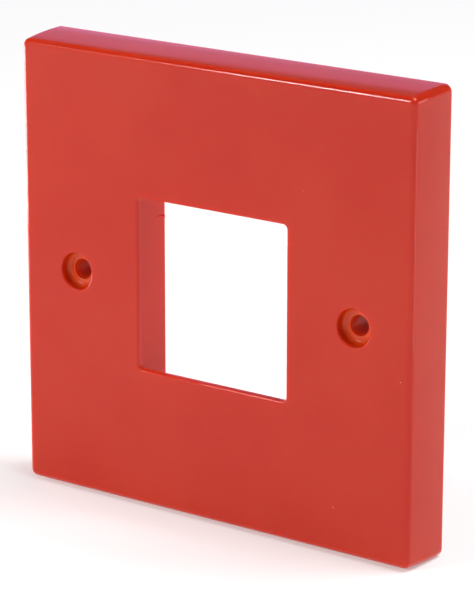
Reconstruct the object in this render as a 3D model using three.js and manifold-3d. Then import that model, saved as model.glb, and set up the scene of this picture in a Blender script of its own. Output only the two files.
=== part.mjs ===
// Call point face plate: one moulded square plate for a single wall box.
// The front faces -Y, the open back lies on the plane Y = 0, and +Z is up. Millimetres.
// The origin is midway between the two fixing screws, on the plane of the wall.

import * as THREE from 'three';
import { mergeVertices } from 'three/addons/utils/BufferGeometryUtils.js';
import Module from 'manifold-3d';

const wasm = await Module();
wasm.setup();

// Outer shape
const plateSize = 85.0; // across the open back, both ways
const plateDepth = 10.5;
const sideLean = 0.6; // how far each crowned side curves in between the back and the front
const outerCornerRadius = 1.4;
const frontEdgeRadius = 1.1;
const panelThickness = 3.0;
const skirtThickness = 2.4;
const hollowCornerRadius = 1.2;

// Opening for the insert, and the frame that guides it behind the panel
const apertureWidth = 32.4;
const apertureHeight = 32.2;
const apertureCornerRadius = 0.9;
const apertureEdgeRadius = 0.4;
const lipThickness = 1.2; // the thin edge that the insert's clips grip, above and below
const clipPocketHeight = 5.0; // room for the clips beyond the opening, above and below
const frameWallThickness = 2.0;
const frameDepth = 8.4; // from the front face to the back end of the frame's walls

// Ramped nibs on the frame's side walls
const nibHeight = 10.9; // above the middle of the opening
const nibRise = 0.4;
const nibThickness = 0.6;
const nibStartDepth = 5.4; // from the front face
const nibEndDepth = 8.0;

// Screw fixings
const fixingCentres = 60.3;
const recessRadius = 3.4;
const recessRimRadius = 0.35;
const recessDepth = 2.0;
const seatFilletRadius = 1.0; // rounds the foot of the recess into the seat around the bore
const boreRadius = 1.9;
const boreRimRadius = 0.15;
const bossRadius = 4.9;
const bossDepth = 9.0; // from the front face to the back end of the boss

// Stiffening ribs on the back of the panel
const ribThickness = 1.4;
const ribHeight = 3.0;
const uprightRibOffset = 9.0; // of the upright ribs from the middle line

// Shallow round marks that the mould's ejector pins leave on the back of the panel
const ejectorMarkRadius = 2.0;
const ejectorMarkDepth = 0.15;
const ejectorMarkPlaces = [[0, 31.5], [16.5, 31.5], [33.0, 33.0], [33.0, 14.0]]; // X and Z, mirrored all round

// Fineness of the rounded shapes
const cornerDivisions = 4;
const edgeDivisions = 7;
const sideDivisions = 6;
const roundSegments = 48;
const markSegments = 24;
const overrun = 1.0; // how far a cutter runs past the face that it opens

const frontY = -plateDepth;
const panelBackY = frontY + panelThickness;
const halfSize = plateSize / 2;
const frameHalfWidth = apertureWidth / 2 + frameWallThickness;
const pocketHalfHeight = apertureHeight / 2 + clipPocketHeight;
const frameHalfHeight = pocketHalfHeight + frameWallThickness;
const sides = [-1, 1];

function toSolid(geometry) {
  const bare = geometry.clone();
  bare.deleteAttribute('normal');
  bare.deleteAttribute('uv');
  const merged = mergeVertices(bare, 1e-5);
  const triVerts = withoutSlivers(merged.index.array);
  const vertProperties = new Float32Array(merged.attributes.position.array);
  return new wasm.Manifold(new wasm.Mesh({ numProp: 3, vertProperties, triVerts }));
}

// A lathe's triangles on its axis have two corners in one place.
function withoutSlivers(index) {
  const kept = [];
  for (let i = 0; i < index.length; i += 3) {
    const [a, b, c] = index.slice(i, i + 3);
    if (a !== b && b !== c && c !== a) {
      kept.push(a, b, c);
    }
  }
  return new Uint32Array(kept);
}

function toGeometry(solid) {
  const { vertProperties, triVerts } = solid.getMesh();
  const geometry = new THREE.BufferGeometry();
  geometry.setAttribute('position', new THREE.BufferAttribute(vertProperties, 3));
  geometry.setIndex(new THREE.BufferAttribute(triVerts, 1));
  geometry.computeVertexNormals();
  return geometry;
}

function joined(solids) {
  return solids.reduce((whole, next) => whole.add(next));
}

function roundedRectangle({ halfWidth, halfHeight, radius }) {
  const x = halfWidth - radius;
  const z = halfHeight - radius;
  const shape = new THREE.Shape();
  shape.absarc(x, z, radius, 0, Math.PI / 2);
  shape.absarc(-x, z, radius, Math.PI / 2, Math.PI);
  shape.absarc(-x, -z, radius, Math.PI, 1.5 * Math.PI);
  shape.absarc(x, -z, radius, 1.5 * Math.PI, 2 * Math.PI);
  return shape.getPoints(cornerDivisions);
}

// A closed solid through rounded rectangles, given from the front to the back.
function loft(sections) {
  const rings = sections.map(roundedRectangle);
  const count = rings[0].length;
  const positions = rings.flatMap((ring, i) => ring.flatMap((p) => [p.x, sections[i].y, p.y]));
  const index = [];
  for (let ring = 0; ring < rings.length - 1; ring += 1) {
    for (let k = 0; k < count; k += 1) {
      const here = ring * count + k;
      const next = ring * count + ((k + 1) % count);
      index.push(here, next + count, next);
      index.push(here, here + count, next + count);
    }
  }
  const last = (rings.length - 1) * count;
  for (const [a, b, c] of THREE.ShapeUtils.triangulateShape(rings[0], [])) {
    index.push(a, b, c);
    index.push(last + a, last + c, last + b);
  }
  const geometry = new THREE.BufferGeometry();
  geometry.setAttribute('position', new THREE.Float32BufferAttribute(positions, 3));
  geometry.setIndex(index);
  return toSolid(geometry);
}

function block(width, depth, height, centre) {
  const geometry = new THREE.BoxGeometry(width, depth, height);
  geometry.translate(...centre);
  return toSolid(geometry);
}

// Half the plate's outer width at a place between the back (Y = 0) and the front.
function outerHalfAt(y) {
  return halfSize - sideLean * (y / plateDepth) ** 2;
}

// The rounded front edge turns from the front face until it is tangent to the crowned side.
function frontEdgeSections() {
  const sideSlope = Math.atan((2 * sideLean * (plateDepth - frontEdgeRadius)) / plateDepth ** 2);
  const lastAngle = Math.PI / 2 - sideSlope;
  const lastY = frontY + frontEdgeRadius * (1 - Math.cos(lastAngle));
  const sections = [];
  for (let i = 0; i <= edgeDivisions; i += 1) {
    const angle = (i / edgeDivisions) * lastAngle;
    const y = frontY + frontEdgeRadius * (1 - Math.cos(angle));
    const inset = frontEdgeRadius * (Math.sin(lastAngle) - Math.sin(angle));
    const half = outerHalfAt(lastY) - inset;
    sections.push({ y, halfWidth: half, halfHeight: half, radius: outerCornerRadius - inset });
  }
  return sections;
}

function outerBlock() {
  const sections = frontEdgeSections();
  const startY = sections[sections.length - 1].y;
  for (let i = 1; i <= sideDivisions; i += 1) {
    const y = startY * (1 - i / sideDivisions);
    const half = outerHalfAt(y);
    sections.push({ y, halfWidth: half, halfHeight: half, radius: outerCornerRadius });
  }
  return loft(sections);
}

function backHollow() {
  const sections = [panelBackY, overrun].map((y) => {
    const half = outerHalfAt(y) - skirtThickness;
    return { y, halfWidth: half, halfHeight: half, radius: hollowCornerRadius };
  });
  return loft(sections);
}

// A straight block from inside the panel to a given depth behind the front face.
function insertFrame() {
  const startY = panelBackY - lipThickness;
  const endY = frontY + frameDepth;
  const size = { halfWidth: frameHalfWidth, halfHeight: frameHalfHeight, radius: hollowCornerRadius };
  return loft([{ y: startY, ...size }, { y: endY, ...size }]);
}

function clipPocket() {
  const size = {
    halfWidth: apertureWidth / 2,
    halfHeight: pocketHalfHeight,
    radius: apertureCornerRadius,
  };
  return loft([{ y: frontY + lipThickness, ...size }, { y: overrun, ...size }]);
}

function aperture() {
  const opening = (y, flare) => ({
    y,
    halfWidth: apertureWidth / 2 + flare,
    halfHeight: apertureHeight / 2 + flare,
    radius: apertureCornerRadius + flare,
  });
  const sections = [opening(frontY - overrun, apertureEdgeRadius)];
  for (let i = 0; i <= edgeDivisions; i += 1) {
    const angle = (i / edgeDivisions) * (Math.PI / 2);
    const y = frontY + apertureEdgeRadius * (1 - Math.cos(angle));
    sections.push(opening(y, apertureEdgeRadius * (1 - Math.sin(angle))));
  }
  sections.push(opening(overrun, 0));
  return loft(sections);
}

function catchNib(side) {
  const wallX = (side * apertureWidth) / 2;
  const outline = new THREE.Shape();
  outline.moveTo(wallX, frontY + nibStartDepth);
  outline.lineTo(wallX - side * nibRise, frontY + nibEndDepth);
  outline.lineTo(wallX + side * frameWallThickness * 0.5, frontY + nibEndDepth);
  outline.lineTo(wallX + side * frameWallThickness * 0.5, frontY + nibStartDepth);
  outline.closePath();
  const geometry = new THREE.ExtrudeGeometry(outline, { depth: nibThickness, bevelEnabled: false });
  geometry.translate(0, 0, nibHeight - nibThickness / 2);
  return toSolid(geometry);
}

function fixingBoss(side) {
  const length = bossDepth - panelThickness + overrun;
  const geometry = new THREE.CylinderGeometry(bossRadius, bossRadius, length, roundSegments);
  geometry.translate((side * fixingCentres) / 2, frontY + bossDepth - length / 2, 0);
  return toSolid(geometry);
}

// The screw's way through the plate: a round-rimmed recess, a dished seat and a round-rimmed bore.
function fixingCutter(side) {
  const mouthRadius = recessRadius + recessRimRadius;
  const seatY = frontY + recessDepth;
  const filletCentre = recessRadius - seatFilletRadius;
  const boreMouthRadius = boreRadius + boreRimRadius;
  const profile = new THREE.Path();
  profile.moveTo(0, frontY - overrun);
  profile.lineTo(mouthRadius, frontY - overrun);
  profile.lineTo(mouthRadius, frontY);
  profile.absarc(mouthRadius, frontY + recessRimRadius, recessRimRadius, 1.5 * Math.PI, Math.PI, true);
  profile.absarc(filletCentre, seatY - seatFilletRadius, seatFilletRadius, 0, 0.5 * Math.PI);
  profile.absarc(boreMouthRadius, seatY + boreRimRadius, boreRimRadius, 1.5 * Math.PI, Math.PI, true);
  profile.lineTo(boreRadius, overrun);
  profile.lineTo(0, overrun);
  const geometry = new THREE.LatheGeometry(profile.getPoints(2), roundSegments);
  geometry.translate((side * fixingCentres) / 2, 0, 0);
  return toSolid(geometry);
}

function stiffeningRibs() {
  const ribY = panelBackY + (ribHeight - overrun) / 2;
  const ribDepth = ribHeight + overrun;
  const skirtMiddle = halfSize - skirtThickness / 2;
  const reachX = skirtMiddle - frameHalfWidth;
  const reachZ = skirtMiddle - frameHalfHeight;
  const ribs = [];
  for (const side of sides) {
    ribs.push(block(reachX, ribDepth, ribThickness, [side * (frameHalfWidth + reachX / 2), ribY, 0]));
    for (const column of sides) {
      const centre = [column * uprightRibOffset, ribY, side * (frameHalfHeight + reachZ / 2)];
      ribs.push(block(ribThickness, ribDepth, reachZ, centre));
    }
  }
  return ribs;
}

function ejectorMark(x, z) {
  const length = ejectorMarkDepth + overrun;
  const geometry = new THREE.CylinderGeometry(ejectorMarkRadius, ejectorMarkRadius, length, markSegments);
  geometry.translate(x, panelBackY - ejectorMarkDepth + length / 2, z);
  return toSolid(geometry);
}

function ejectorMarks() {
  const marks = [];
  for (const [x, z] of ejectorMarkPlaces) {
    for (const sideX of x === 0 ? [1] : sides) {
      marks.push(...sides.map((sideZ) => ejectorMark(sideX * x, sideZ * z)));
    }
  }
  return marks;
}

function facePlateGeometry() {
  const shell = outerBlock().subtract(joined([backHollow(), ...ejectorMarks()]));
  const built = joined([shell, insertFrame(), ...sides.map(fixingBoss), ...stiffeningRibs()]);
  const cutters = joined([aperture(), clipPocket(), ...sides.map(fixingCutter)]);
  return toGeometry(joined([built.subtract(cutters), ...sides.map(catchNib)]));
}

function redPlastic() {
  return new THREE.MeshStandardMaterial({ color: 0xc74235, roughness: 0.25, metalness: 0.0 });
}

const facePlate = new THREE.Mesh(facePlateGeometry(), redPlastic());
facePlate.name = 'face_plate';

const callPointFacePlate = new THREE.Group();
callPointFacePlate.add(facePlate);

export default callPointFacePlate;
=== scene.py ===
"""Looks of the call point face plate: one glossy red moulding standing on a plain pale floor."""

import math

import bmesh
import bpy
from mathutils import Matrix, Vector


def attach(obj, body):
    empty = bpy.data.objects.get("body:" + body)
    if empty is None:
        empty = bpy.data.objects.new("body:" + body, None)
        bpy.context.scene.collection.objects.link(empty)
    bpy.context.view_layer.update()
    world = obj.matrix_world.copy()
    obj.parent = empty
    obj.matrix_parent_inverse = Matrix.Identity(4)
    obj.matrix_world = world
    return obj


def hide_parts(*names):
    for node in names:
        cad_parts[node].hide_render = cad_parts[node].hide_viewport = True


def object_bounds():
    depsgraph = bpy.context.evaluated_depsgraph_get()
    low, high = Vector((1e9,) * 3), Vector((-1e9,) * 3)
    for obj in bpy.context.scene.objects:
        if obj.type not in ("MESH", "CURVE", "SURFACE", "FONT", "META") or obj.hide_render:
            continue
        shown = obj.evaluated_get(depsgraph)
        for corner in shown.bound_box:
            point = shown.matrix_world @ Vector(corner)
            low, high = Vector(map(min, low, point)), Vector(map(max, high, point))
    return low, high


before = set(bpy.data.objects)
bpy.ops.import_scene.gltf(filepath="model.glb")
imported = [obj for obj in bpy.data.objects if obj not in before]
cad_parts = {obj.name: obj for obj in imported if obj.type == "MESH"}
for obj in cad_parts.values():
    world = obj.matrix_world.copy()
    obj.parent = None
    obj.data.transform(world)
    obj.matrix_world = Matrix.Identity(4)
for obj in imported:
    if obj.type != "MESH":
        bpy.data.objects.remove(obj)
cad_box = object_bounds()

MM = 0.001

# Camera, about the middle of the front face
CAMERA_AZIMUTH = 35.2
CAMERA_ELEVATION = 16.8
CAMERA_ROLL = 0.06
CAMERA_DISTANCE = 532.6 * MM
CAMERA_RIGHT = 4.8 * MM
CAMERA_UP = -0.17 * MM
LENS = 180.5
SENSOR = 36.0

# Where painted light brightens the plastic: the screw recesses, and all that the core of the mould shapes
FRONT_Y = cad_box[0].y
FIXING_CENTRES = 60.3 * MM
RECESS_RADIUS = 3.4 * MM
SEAT_Y = FRONT_Y + 2.0 * MM
RIM_Y = FRONT_Y + 0.3 * MM
OPENING_REACH = 16.9 * MM
CORE_REACH = 40.8 * MM

# Colours of the plastic: two shades of its mottling, then what lies over them, painted light among it
SHADE_DARK = (0.510, 0.0215, 0.0030, 1)
SHADE_LIGHT = (0.530, 0.0285, 0.0055, 1)
PALE_CREST = (0.62, 0.075, 0.045, 1)
# Painted light lifting the walls of the opening, the bores and the hollow back
CORE_PAINTED_LIGHT = (0.600, 0.0220, 0.0030, 1)
# Painted glow brightening the screw recesses
RECESS_PAINTED_GLOW = (0.720, 0.0720, 0.0050, 1)
DUST = (0.66, 0.20, 0.16, 1)

# Fineness of each pattern in the plastic, in waves or cells per metre
MOTTLING = 40.0
POLISH_VARIATION = 120.0
DUST_CELLS = 300.0
CREST_PATCHES = 500.0
ORANGE_PEEL = 550.0
SURFACE_GRAIN = 4000.0

# Roughness where the polish is lost
CORE_ROUGHNESS = 0.42
DUST_ROUGHNESS = 0.6

# Heights of the surface relief
PEEL_HEIGHT = 0.010 * MM
SPECK_HEIGHT = 0.03 * MM

# How far from an edge its paler tint reaches
CREST_RADIUS = 0.35 * MM

FLOOR_SIZE = 8.0

# Narrow rounded bands along the sharp edges keep the shading of the flats apart.
# Blender narrows them all to what the plate's smallest detail has room for.
WIDEST_BAND = 0.15 * MM
BAND_SEGMENTS = 3
SHARP_ANGLE = math.radians(30)
FLAT_ANGLE = math.radians(0.2)
WELD_DISTANCE = 0.001 * MM


def moulded_plate():
    """The plate's own surface, with its flats made whole and a narrow rounded band on its sharp edges."""
    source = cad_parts["face_plate"]
    mesh = source.data.copy()
    mesh.name = "moulded_plate"
    piece = bpy.data.objects.new("moulded_plate", mesh)
    bpy.context.scene.collection.objects.link(piece)
    bm = bmesh.new()
    bm.from_mesh(mesh)
    bmesh.ops.remove_doubles(bm, verts=bm.verts, dist=WELD_DISTANCE)
    bmesh.ops.dissolve_limit(bm, angle_limit=FLAT_ANGLE, verts=bm.verts, edges=bm.edges)
    sharp = [e for e in bm.edges if len(e.link_faces) == 2 and e.calc_face_angle() > SHARP_ANGLE]
    bmesh.ops.bevel(
        bm,
        geom=sharp,
        offset=WIDEST_BAND,
        segments=BAND_SEGMENTS,
        profile=0.5,
        affect="EDGES",
        clamp_overlap=True,
    )
    bm.to_mesh(mesh)
    bm.free()
    mesh.polygons.foreach_set("use_smooth", [True] * len(mesh.polygons))
    normals = piece.modifiers.new("weighted_normals", "WEIGHTED_NORMAL")
    normals.mode = "FACE_AREA"
    normals.weight = 100
    return piece


def noise(tree, place, scale, detail=2.0, roughness=0.5):
    """Noise over the piece's own coordinates; scale is in waves per metre."""
    node = tree.nodes.new("ShaderNodeTexNoise")
    node.inputs["Scale"].default_value = scale
    node.inputs["Detail"].default_value = detail
    node.inputs["Roughness"].default_value = roughness
    tree.links.new(place, node.inputs["Vector"])
    return node.outputs["Fac"]


def ranged(tree, value, low, high, to_low, to_high, smooth=False):
    """Value mapped from low..high to to_low..to_high, and held at the ends."""
    node = tree.nodes.new("ShaderNodeMapRange")
    node.interpolation_type = "SMOOTHSTEP" if smooth else "LINEAR"
    node.inputs["From Min"].default_value = low
    node.inputs["From Max"].default_value = high
    node.inputs["To Min"].default_value = to_low
    node.inputs["To Max"].default_value = to_high
    tree.links.new(value, node.inputs["Value"])
    return node.outputs["Result"]


def combined(tree, operation, first, second):
    """Result of a two-value Math node on two sockets."""
    node = tree.nodes.new("ShaderNodeMath")
    node.operation = operation
    tree.links.new(first, node.inputs[0])
    tree.links.new(second, node.inputs[1])
    return node.outputs["Value"]


def blended(tree, factor, first, second):
    """Colour that goes from first to second with factor; either may be a colour or a socket."""
    node = tree.nodes.new("ShaderNodeMix")
    node.data_type = "RGBA"
    tree.links.new(factor, node.inputs["Factor"])
    for socket, colour in ((node.inputs[6], first), (node.inputs[7], second)):
        if isinstance(colour, tuple):
            socket.default_value = colour
        else:
            tree.links.new(colour, socket)
    return node.outputs[2]


def relief(tree, height, depth, strength):
    """Bump node that raises the surface by up to depth where height is 1."""
    node = tree.nodes.new("ShaderNodeBump")
    node.inputs["Strength"].default_value = strength
    node.inputs["Distance"].default_value = depth
    tree.links.new(height, node.inputs["Height"])
    return node


def edge_mask(tree):
    """Near 1 on the crests of edges and 0 on the flats."""
    rounded = tree.nodes.new("ShaderNodeBevel")
    rounded.samples = 6
    rounded.inputs["Radius"].default_value = CREST_RADIUS
    surface = tree.nodes.new("ShaderNodeNewGeometry")
    match = tree.nodes.new("ShaderNodeVectorMath")
    match.operation = "DOT_PRODUCT"
    tree.links.new(rounded.outputs["Normal"], match.inputs[0])
    tree.links.new(surface.outputs["Normal"], match.inputs[1])
    return ranged(tree, match.outputs["Value"], 0.995, 0.90, 0.0, 1.0, smooth=True)


def dust_mask(tree, place):
    """Few small specks of pale dust."""
    cells = tree.nodes.new("ShaderNodeTexVoronoi")
    cells.inputs["Scale"].default_value = DUST_CELLS
    tree.links.new(place, cells.inputs["Vector"])
    speck = ranged(tree, cells.outputs["Distance"], 0.03, 0.05, 1.0, 0.0, smooth=True)
    split = tree.nodes.new("ShaderNodeSeparateColor")
    tree.links.new(cells.outputs["Color"], split.inputs[0])
    chosen = ranged(tree, split.outputs[0], 0.90, 0.93, 0.0, 1.0)
    return combined(tree, "MULTIPLY", speck, chosen)


def offset_from_middle(tree, split, axis):
    """How far a point is from the middle of the plate along one axis, whichever side it is on."""
    node = tree.nodes.new("ShaderNodeMath")
    node.operation = "ABSOLUTE"
    tree.links.new(split.outputs[axis], node.inputs[0])
    return node.outputs["Value"]


def painted_glow_recess_mask(tree, split):
    """1 in the screw recesses and the mouths of their bores, where a painted glow brightens the plastic."""
    across = tree.nodes.new("ShaderNodeCombineXYZ")
    tree.links.new(offset_from_middle(tree, split, "X"), across.inputs["X"])
    tree.links.new(split.outputs["Z"], across.inputs["Z"])
    distance = tree.nodes.new("ShaderNodeVectorMath")
    distance.operation = "DISTANCE"
    distance.inputs[1].default_value = (FIXING_CENTRES / 2, 0, 0)
    tree.links.new(across.outputs["Vector"], distance.inputs[0])
    offset = distance.outputs["Value"]
    within = ranged(tree, offset, RECESS_RADIUS - 0.3 * MM, RECESS_RADIUS + 0.1 * MM, 1.0, 0.0, smooth=True)
    shallow = ranged(tree, split.outputs["Y"], SEAT_Y + 2 * MM, SEAT_Y + 5 * MM, 1.0, 0.0, smooth=True)
    return combined(tree, "MULTIPLY", within, shallow)


def core_painted_light_and_dull_mask(tree, split):
    """1 on what the core of the mould shapes: the bores, the walls of the opening and the hollow back, which
    get painted light and lose their polish.
    """
    sideways = offset_from_middle(tree, split, "X")
    reach = combined(tree, "MAXIMUM", sideways, offset_from_middle(tree, split, "Z"))
    depth = split.outputs["Y"]
    in_hollow = ranged(tree, reach, CORE_REACH, CORE_REACH + 0.3 * MM, 1.0, 0.0)
    behind_seat = ranged(tree, depth, SEAT_Y + 0.2 * MM, SEAT_Y + 0.5 * MM, 0.0, 1.0)
    in_opening = ranged(tree, reach, OPENING_REACH, OPENING_REACH + 0.3 * MM, 1.0, 0.0)
    behind_rim = ranged(tree, depth, RIM_Y, RIM_Y + 0.6 * MM, 0.0, 1.0, smooth=True)
    hollow = combined(tree, "MULTIPLY", in_hollow, behind_seat)
    opening = combined(tree, "MULTIPLY", in_opening, behind_rim)
    return combined(tree, "MAXIMUM", hollow, opening)


def red_plastic():
    """Glossy red moulding compound: faint mottling, orange peel, paler edge crests, a little dust, and
    painted light brightening the hollows and the screw recesses.
    """
    material = bpy.data.materials.new("red_plastic")
    material.use_nodes = True
    tree = material.node_tree
    shader = tree.nodes["Principled BSDF"]
    shader.inputs["IOR"].default_value = 1.42
    shader.inputs["Specular Tint"].default_value = (1.0, 0.82, 0.88, 1)
    shader.inputs["Subsurface Weight"].default_value = 0.8
    shader.inputs["Subsurface Radius"].default_value = (1.0, 0.22, 0.10)
    shader.inputs["Subsurface Scale"].default_value = 2.0 * MM
    place = tree.nodes.new("ShaderNodeTexCoord").outputs["Object"]

    mottling = ranged(tree, noise(tree, place, MOTTLING, detail=3.0), 0.35, 0.65, 0.0, 1.0, smooth=True)
    colour = blended(tree, mottling, SHADE_DARK, SHADE_LIGHT)
    patchy = ranged(tree, noise(tree, place, CREST_PATCHES, detail=4.0), 0.40, 0.62, 0.10, 0.45)
    # Lighter, more orange in patches on the crests of edges
    crest_tint = combined(tree, "MULTIPLY", edge_mask(tree), patchy)
    colour = blended(tree, crest_tint, colour, PALE_CREST)
    split = tree.nodes.new("ShaderNodeSeparateXYZ")
    tree.links.new(place, split.inputs[0])
    core = core_painted_light_and_dull_mask(tree, split)
    # Painted light: the walls of the opening, the bores and the hollow back brightened
    colour = blended(tree, core, colour, CORE_PAINTED_LIGHT)
    # Painted glow: the screw recesses brightened
    colour = blended(tree, painted_glow_recess_mask(tree, split), colour, RECESS_PAINTED_GLOW)
    dust = dust_mask(tree, place)
    colour = blended(tree, dust, colour, DUST)
    tree.links.new(colour, shader.inputs["Base Color"])

    gloss = ranged(tree, noise(tree, place, POLISH_VARIATION, detail=5.0), 0.30, 0.70, 0.06, 0.10)
    grain = ranged(tree, noise(tree, place, SURFACE_GRAIN), 0.35, 0.65, 0.0, 0.03)
    roughness = combined(tree, "ADD", gloss, grain)
    roughness = combined(tree, "MAXIMUM", roughness, ranged(tree, dust, 0.0, 1.0, 0.0, DUST_ROUGHNESS))
    roughness = combined(tree, "MAXIMUM", roughness, ranged(tree, core, 0.0, 1.0, 0.0, CORE_ROUGHNESS))
    tree.links.new(roughness, shader.inputs["Roughness"])

    peel = relief(tree, noise(tree, place, ORANGE_PEEL), PEEL_HEIGHT, 0.25)
    specks = relief(tree, dust, SPECK_HEIGHT, 0.6)
    tree.links.new(peel.outputs["Normal"], specks.inputs["Normal"])
    tree.links.new(specks.outputs["Normal"], shader.inputs["Normal"])
    return material


def pale_floor():
    """Plain matt floor under the plate, faintly lit from within so that it stays near white."""
    lowest = cad_box[0].z
    mesh = bpy.data.meshes.new("floor")
    half = FLOOR_SIZE / 2
    corners = [(-half, -half, lowest), (half, -half, lowest), (half, half, lowest), (-half, half, lowest)]
    mesh.from_pydata(corners, [], [(0, 1, 2, 3)])
    floor = bpy.data.objects.new("floor", mesh)
    bpy.context.scene.collection.objects.link(floor)
    material = bpy.data.materials.new("pale_floor")
    material.use_nodes = True
    shader = material.node_tree.nodes["Principled BSDF"]
    shader.inputs["Base Color"].default_value = (0.78, 0.78, 0.78, 1)
    shader.inputs["Emission Color"].default_value = (1, 1, 1, 1)
    shader.inputs["Emission Strength"].default_value = 0.27
    shader.inputs["Roughness"].default_value = 0.9
    shader.inputs["Specular IOR Level"].default_value = 0.0
    mesh.materials.append(material)


def direction(azimuth, elevation):
    """Unit vector from the plate towards a place; azimuth 0 is in front of it, 90 to its right."""
    a = math.radians(azimuth)
    e = math.radians(elevation)
    return Vector((math.sin(a) * math.cos(e), -math.cos(a) * math.cos(e), math.sin(e)))


def area_light(name, azimuth, elevation, distance, width, height, power, colour=(1, 1, 1)):
    """Rectangular light aimed at the plate's origin; lengths in metres, angles in degrees, power in watts."""
    data = bpy.data.lights.new(name, "AREA")
    data.shape = "RECTANGLE"
    data.size = width
    data.size_y = height
    data.energy = power
    data.color = colour
    light = bpy.data.objects.new(name, data)
    bpy.context.scene.collection.objects.link(light)
    back = direction(azimuth, elevation)
    light.location = back * distance
    light.rotation_mode = "QUATERNION"
    light.rotation_quaternion = back.to_track_quat("Z", "Y")


def studio_world():
    """Soft surroundings, pale at the horizon and grey above it."""
    world = bpy.data.worlds.new("studio")
    bpy.context.scene.world = world
    world.use_nodes = True
    tree = world.node_tree
    background = tree.nodes["Background"]
    coordinates = tree.nodes.new("ShaderNodeTexCoord")
    split = tree.nodes.new("ShaderNodeSeparateXYZ")
    ramp = tree.nodes.new("ShaderNodeValToRGB")
    tree.links.new(coordinates.outputs["Generated"], split.inputs[0])
    tree.links.new(split.outputs["Z"], ramp.inputs["Fac"])
    tree.links.new(ramp.outputs["Color"], background.inputs["Color"])
    elements = ramp.color_ramp.elements
    elements[0].position = 0.05
    elements[0].color = (0.9, 0.9, 0.92, 1)
    elements[1].position = 0.22
    elements[1].color = (0.16, 0.16, 0.16, 1)


def studio_camera():
    """Camera aimed near the middle of the front face, at the angles named at the top."""
    data = bpy.data.cameras.new("camera")
    data.lens = LENS
    data.sensor_width = SENSOR
    data.clip_start = 0.05
    data.clip_end = 20
    camera = bpy.data.objects.new("camera", data)
    bpy.context.scene.collection.objects.link(camera)
    back = direction(CAMERA_AZIMUTH, CAMERA_ELEVATION)
    azimuth = math.radians(CAMERA_AZIMUTH)
    level = Vector((math.cos(azimuth), math.sin(azimuth), 0))
    upright = back.cross(level)
    roll = math.radians(CAMERA_ROLL)
    right = level * math.cos(roll) + upright * math.sin(roll)
    up = upright * math.cos(roll) - level * math.sin(roll)
    front_middle = Vector((0, FRONT_Y, (cad_box[0].z + cad_box[1].z) / 2))
    place = front_middle + back * CAMERA_DISTANCE + right * CAMERA_RIGHT + up * CAMERA_UP
    turn = Matrix((right, up, back)).transposed().to_4x4()
    camera.matrix_world = Matrix.Translation(place) @ turn
    bpy.context.scene.camera = camera


plate = moulded_plate()
plate.data.materials.clear()
plate.data.materials.append(red_plastic())
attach(plate, "root")
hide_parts("face_plate")

pale_floor()
studio_world()
# Front: the line along the top edge, the glints in the recesses and their rims, and a weak fill
area_light("key", -31, 23, 1.0, 0.20, 0.08, 4.2)
area_light("key_spill", -47, 23, 1.0, 0.28, 0.06, 0.5)
area_light("left_strip", -80, -4, 0.22, 0.12, 0.05, 0.18)
area_light("front_fill", 48, 12, 1.2, 0.70, 0.50, 0.3)
# Right: a faint line down the front edge
area_light("right_strip", 98, -8, 0.17, 0.010, 0.06, 0.014)
# Behind: the pink sheen on the top face, and light on the right side and through the opening
area_light("back_sheen", -145, 7, 1.2, 0.90, 0.36, 0.38, (0.85, 0.40, 1.0))
area_light("back_glow", -145, 18, 1.2, 0.90, 0.20, 0.26, (0.95, 0.46, 1.0))
area_light("back_right", 122, 12, 1.2, 0.50, 0.40, 1.9)
# Above: the floor and the top face
area_light("overhead", 110, 70, 1.8, 1.2, 1.2, 27.0)
studio_camera()
bpy.context.scene.view_settings.view_transform = "Standard"
